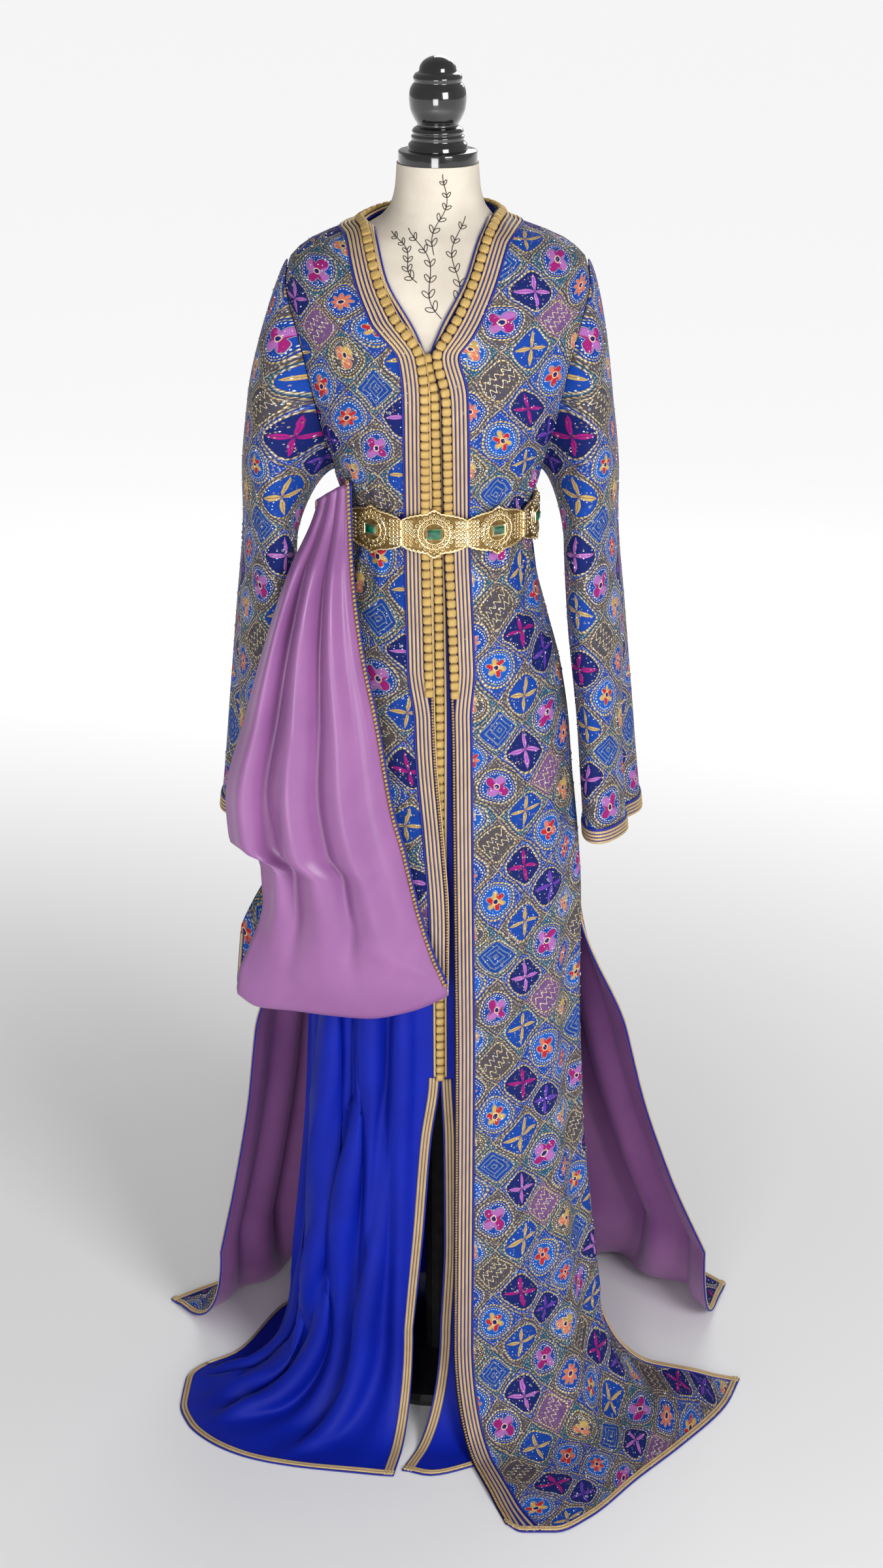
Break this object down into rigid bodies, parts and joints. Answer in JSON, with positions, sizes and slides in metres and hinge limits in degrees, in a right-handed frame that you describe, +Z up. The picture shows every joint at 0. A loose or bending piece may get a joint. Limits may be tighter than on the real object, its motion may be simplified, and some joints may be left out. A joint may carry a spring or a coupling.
{
  "type": "moroccan kaftan on dress form",
  "caption": "Long two-piece kaftan with braids, knots, plate belt and a turned-up front panel, on a limbless dress form with a turned finial.",
  "frame": {"origin": "centre of the stand's underside, on the floor", "axes": "+Z up, the front faces -Y, +X to the viewer's right"},
  "size_m": [0.74, 0.7052, 1.6241],
  "materials": {
    "linen": "plain woven cover over a padded form",
    "black_gloss_wood": "black gloss lacquer",
    "stand_paint": "black satin paint",
    "blue_crepe": "matt royal blue crepe",
    "embroidered_net": "embroidered and sequined, lilac satin lining",
    "gold_passementerie": "metallic gold cord and knots",
    "gilt_brass": "polished gilt filigree",
    "green_glass": "step-cut green glass"
  },
  "bodies": {
    "root": {"form_torso": "linen", "neck_cap": "black_gloss_wood", "finial": "black_gloss_wood", "base": "stand_paint", "pole": "stand_paint", "underdress_front_left": "blue_crepe", "underdress_front_right": "blue_crepe", "underdress_back": "blue_crepe", "knots_middle": "gold_passementerie", "overdress_front_left": "embroidered_net", "overdress_front_right": "embroidered_net", "overdress_back": "embroidered_net", "sleeve_left": "embroidered_net", "sleeve_right": "embroidered_net", "braid_left": "gold_passementerie", "braid_right": "gold_passementerie", "knots_left": "gold_passementerie", "knots_right": "gold_passementerie", "cuff_braid_left": "gold_passementerie", "cuff_braid_right": "gold_passementerie", "belt_plate_01": "gilt_brass", "stone_01": "green_glass", "belt_plate_02": "gilt_brass", "stone_02": "green_glass", "belt_plate_03": "gilt_brass", "stone_03": "green_glass", "belt_plate_04": "gilt_brass", "stone_04": "green_glass", "belt_plate_05": "gilt_brass", "stone_05": "green_glass", "belt_plate_06": "gilt_brass", "stone_06": "green_glass", "belt_plate_07": "gilt_brass", "stone_07": "green_glass", "belt_plate_08": "gilt_brass", "stone_08": "green_glass", "belt_plate_09": "gilt_brass", "stone_09": "green_glass"}
  },
  "joints": []
}
